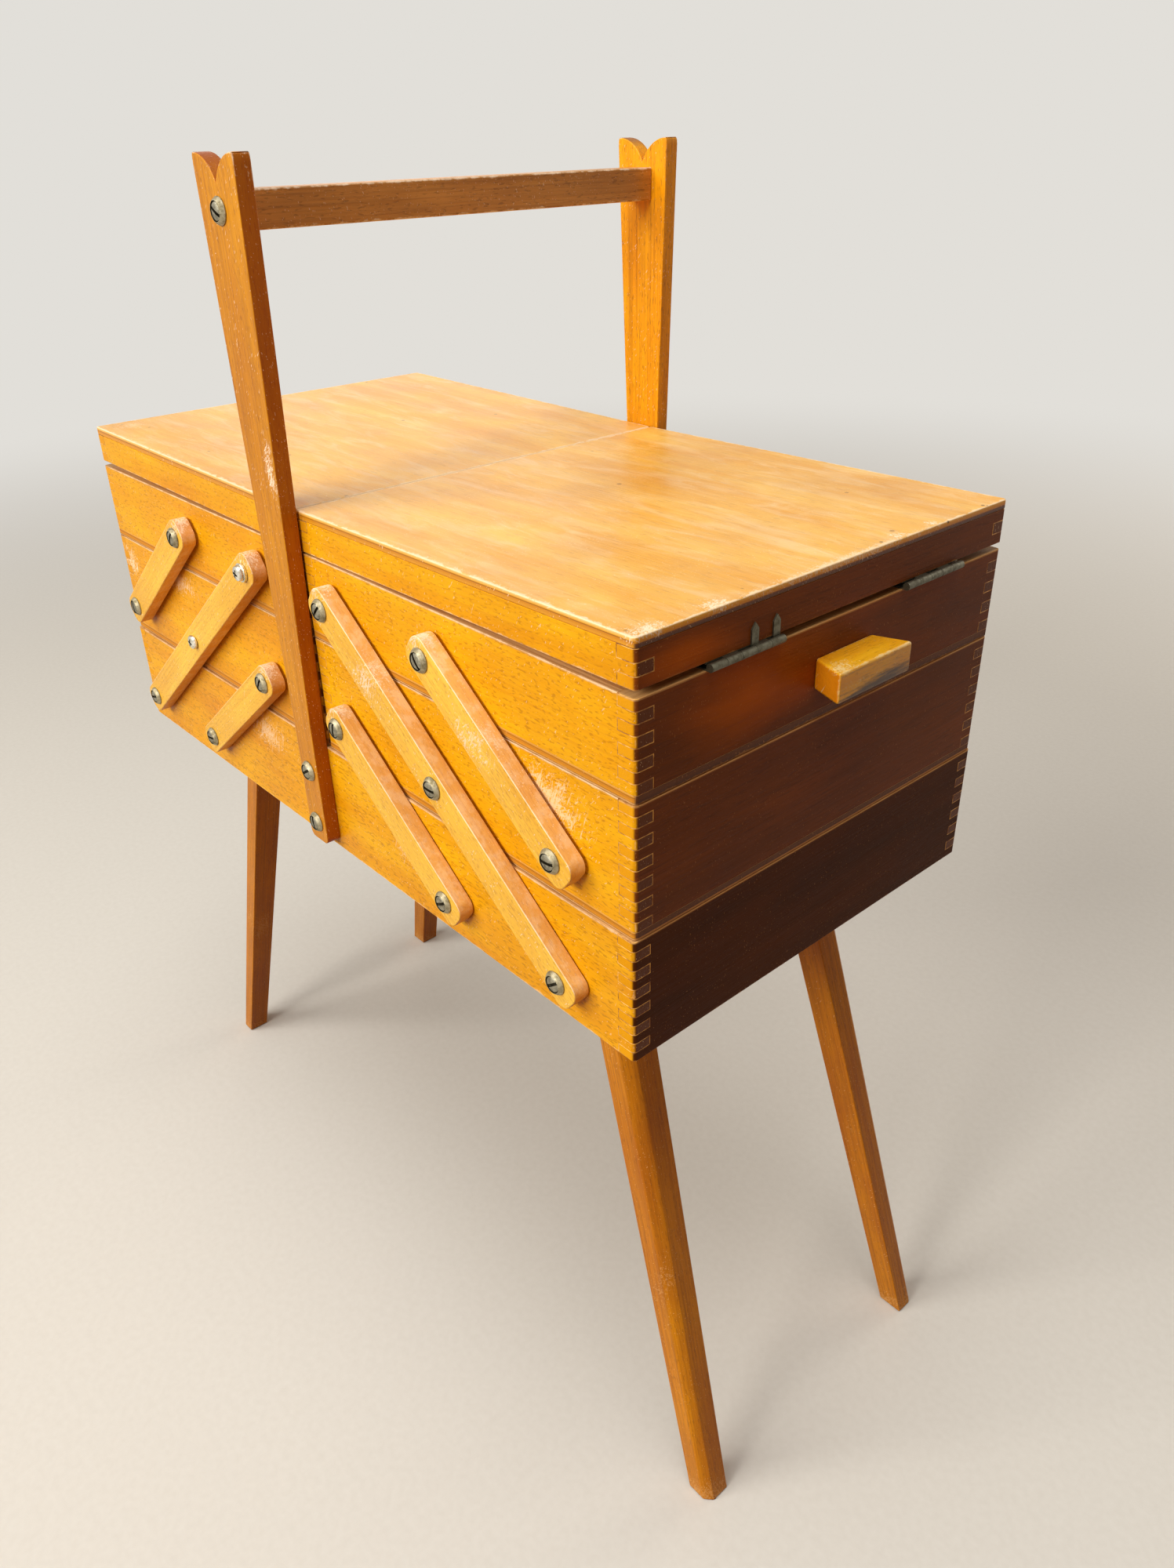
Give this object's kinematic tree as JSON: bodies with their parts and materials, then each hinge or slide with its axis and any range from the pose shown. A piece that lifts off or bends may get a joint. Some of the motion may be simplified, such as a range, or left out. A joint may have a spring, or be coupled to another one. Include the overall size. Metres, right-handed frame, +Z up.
{
  "type": "cantilever sewing box on legs",
  "caption": "Free-standing wooden sewing box on splayed legs, with lidded trays that swing apart on side arms and a fixed handle bar.",
  "frame": {"origin": "centre of the box on the surface it stands on", "axes": "+X along the box to its right end, -Y to the front, +Z up"},
  "size_m": [0.4954, 0.2406, 0.5975],
  "materials": {
    "board_beech": "honey-coloured worn lacquer",
    "birch_plywood": "pale worn lacquer, plywood edges",
    "arm_beech": "honey-coloured worn lacquer",
    "leg_beech": "brown worn lacquer",
    "handle_beech": "honey-coloured worn lacquer",
    "pull_beech": "worn and dirty lacquer",
    "screw_steel": "dull steel",
    "washer_nickel": "dull nickel",
    "hinge_steel": "dull bronzed steel"
  },
  "bodies": {
    "base": {"base_front": "board_beech", "base_rear": "board_beech", "base_left_end": "board_beech", "base_right_end": "board_beech", "base_bottom": "birch_plywood", "leg_cleats": "board_beech", "front_left_leg": "leg_beech", "front_right_leg": "leg_beech", "rear_left_leg": "leg_beech", "rear_right_leg": "leg_beech", "leg_screws": "screw_steel", "front_upright": "handle_beech", "rear_upright": "handle_beech", "handle_bar": "handle_beech", "handle_screws": "screw_steel", "base_pivot_screws": "screw_steel", "base_cup_washers": "washer_nickel"},
    "right_long_arms_body": {"right_long_arms": "arm_beech"},
    "right_lower_arms_body": {"right_lower_arms": "arm_beech"},
    "right_upper_arms_body": {"right_upper_arms": "arm_beech"},
    "right_mid_tray": {"right_mid_sides": "board_beech", "right_mid_ends": "board_beech", "right_mid_bottom": "birch_plywood", "right_mid_screws": "screw_steel", "right_mid_washers": "washer_nickel"},
    "right_top_tray": {"right_top_sides": "board_beech", "right_top_ends": "board_beech", "right_top_bottom": "birch_plywood", "right_top_screws": "screw_steel", "right_top_washers": "washer_nickel", "right_pull": "pull_beech", "pull_screws_right": "screw_steel", "right_tray_leaves": "hinge_steel", "right_hinge_pins": "hinge_steel"},
    "right_lid": {"right_lid_sides": "board_beech", "right_lid_ends": "board_beech", "right_lid_panel": "birch_plywood", "right_lid_leaves": "hinge_steel"},
    "left_long_arms_body": {"left_long_arms": "arm_beech"},
    "left_lower_arms_body": {"left_lower_arms": "arm_beech"},
    "left_upper_arms_body": {"left_upper_arms": "arm_beech"},
    "left_mid_tray": {"left_mid_sides": "board_beech", "left_mid_ends": "board_beech", "left_mid_bottom": "birch_plywood", "left_mid_screws": "screw_steel", "left_mid_washers": "washer_nickel"},
    "left_top_tray": {"left_top_sides": "board_beech", "left_top_ends": "board_beech", "left_top_bottom": "birch_plywood", "left_top_screws": "screw_steel", "left_top_washers": "washer_nickel", "left_pull": "pull_beech", "pull_screws_left": "screw_steel", "left_tray_leaves": "hinge_steel", "left_hinge_pins": "hinge_steel"},
    "left_lid": {"left_lid_sides": "board_beech", "left_lid_ends": "board_beech", "left_lid_panel": "birch_plywood", "left_lid_leaves": "hinge_steel"}
  },
  "joints": [
    {"name": "right_arms_swing", "type": "hinge", "parent": "base", "child": "right_long_arms_body", "pos_m": [0.181, 0, 0.3105], "axis": [0, 1, 0], "range_deg": [0, 105.53]},
    {"name": "right_lower_arms_swing", "type": "hinge", "parent": "base", "child": "right_lower_arms_body", "pos_m": [0.106, 0, 0.3105], "axis": [0, 1, 0], "range_deg": [0, 105.53]},
    {"name": "right_mid_tray_level", "type": "hinge", "parent": "right_long_arms_body", "child": "right_mid_tray", "pos_m": [0.106, 0, 0.3675], "axis": [0, 1, 0], "range_deg": [-105.53, 0]},
    {"name": "right_upper_arms_swing", "type": "hinge", "parent": "right_mid_tray", "child": "right_upper_arms_body", "pos_m": [0.181, 0, 0.3675], "axis": [0, 1, 0], "range_deg": [0, 105.53]},
    {"name": "right_top_tray_level", "type": "hinge", "parent": "right_long_arms_body", "child": "right_top_tray", "pos_m": [0.031, 0, 0.4245], "axis": [0, 1, 0], "range_deg": [-105.53, 0]},
    {"name": "right_lid_hinge", "type": "hinge", "parent": "right_top_tray", "child": "right_lid", "pos_m": [0.21875, 0, 0.4435], "axis": [0, 1, 0], "range_deg": [0, 142]},
    {"name": "left_arms_swing", "type": "hinge", "parent": "base", "child": "left_long_arms_body", "pos_m": [-0.189, 0, 0.3105], "axis": [0, -1, 0], "range_deg": [0, 105.53]},
    {"name": "left_lower_arms_swing", "type": "hinge", "parent": "base", "child": "left_lower_arms_body", "pos_m": [-0.114, 0, 0.3105], "axis": [0, -1, 0], "range_deg": [0, 105.53]},
    {"name": "left_mid_tray_level", "type": "hinge", "parent": "left_long_arms_body", "child": "left_mid_tray", "pos_m": [-0.114, 0, 0.3675], "axis": [0, -1, 0], "range_deg": [-105.53, 0]},
    {"name": "left_upper_arms_swing", "type": "hinge", "parent": "left_mid_tray", "child": "left_upper_arms_body", "pos_m": [-0.189, 0, 0.3675], "axis": [0, -1, 0], "range_deg": [0, 105.53]},
    {"name": "left_top_tray_level", "type": "hinge", "parent": "left_long_arms_body", "child": "left_top_tray", "pos_m": [-0.039, 0, 0.4245], "axis": [0, -1, 0], "range_deg": [-105.53, 0]},
    {"name": "left_lid_hinge", "type": "hinge", "parent": "left_top_tray", "child": "left_lid", "pos_m": [-0.21875, 0, 0.4435], "axis": [0, -1, 0], "range_deg": [0, 142]}
  ],
  "couplings": [
    {"joint": "right_lower_arms_swing", "follows": "right_arms_swing", "ratio": 1},
    {"joint": "right_mid_tray_level", "follows": "right_arms_swing", "ratio": -1},
    {"joint": "right_upper_arms_swing", "follows": "right_arms_swing", "ratio": 1},
    {"joint": "right_top_tray_level", "follows": "right_arms_swing", "ratio": -1},
    {"joint": "left_lower_arms_swing", "follows": "left_arms_swing", "ratio": 1},
    {"joint": "left_mid_tray_level", "follows": "left_arms_swing", "ratio": -1},
    {"joint": "left_upper_arms_swing", "follows": "left_arms_swing", "ratio": 1},
    {"joint": "left_top_tray_level", "follows": "left_arms_swing", "ratio": -1}
  ]
}
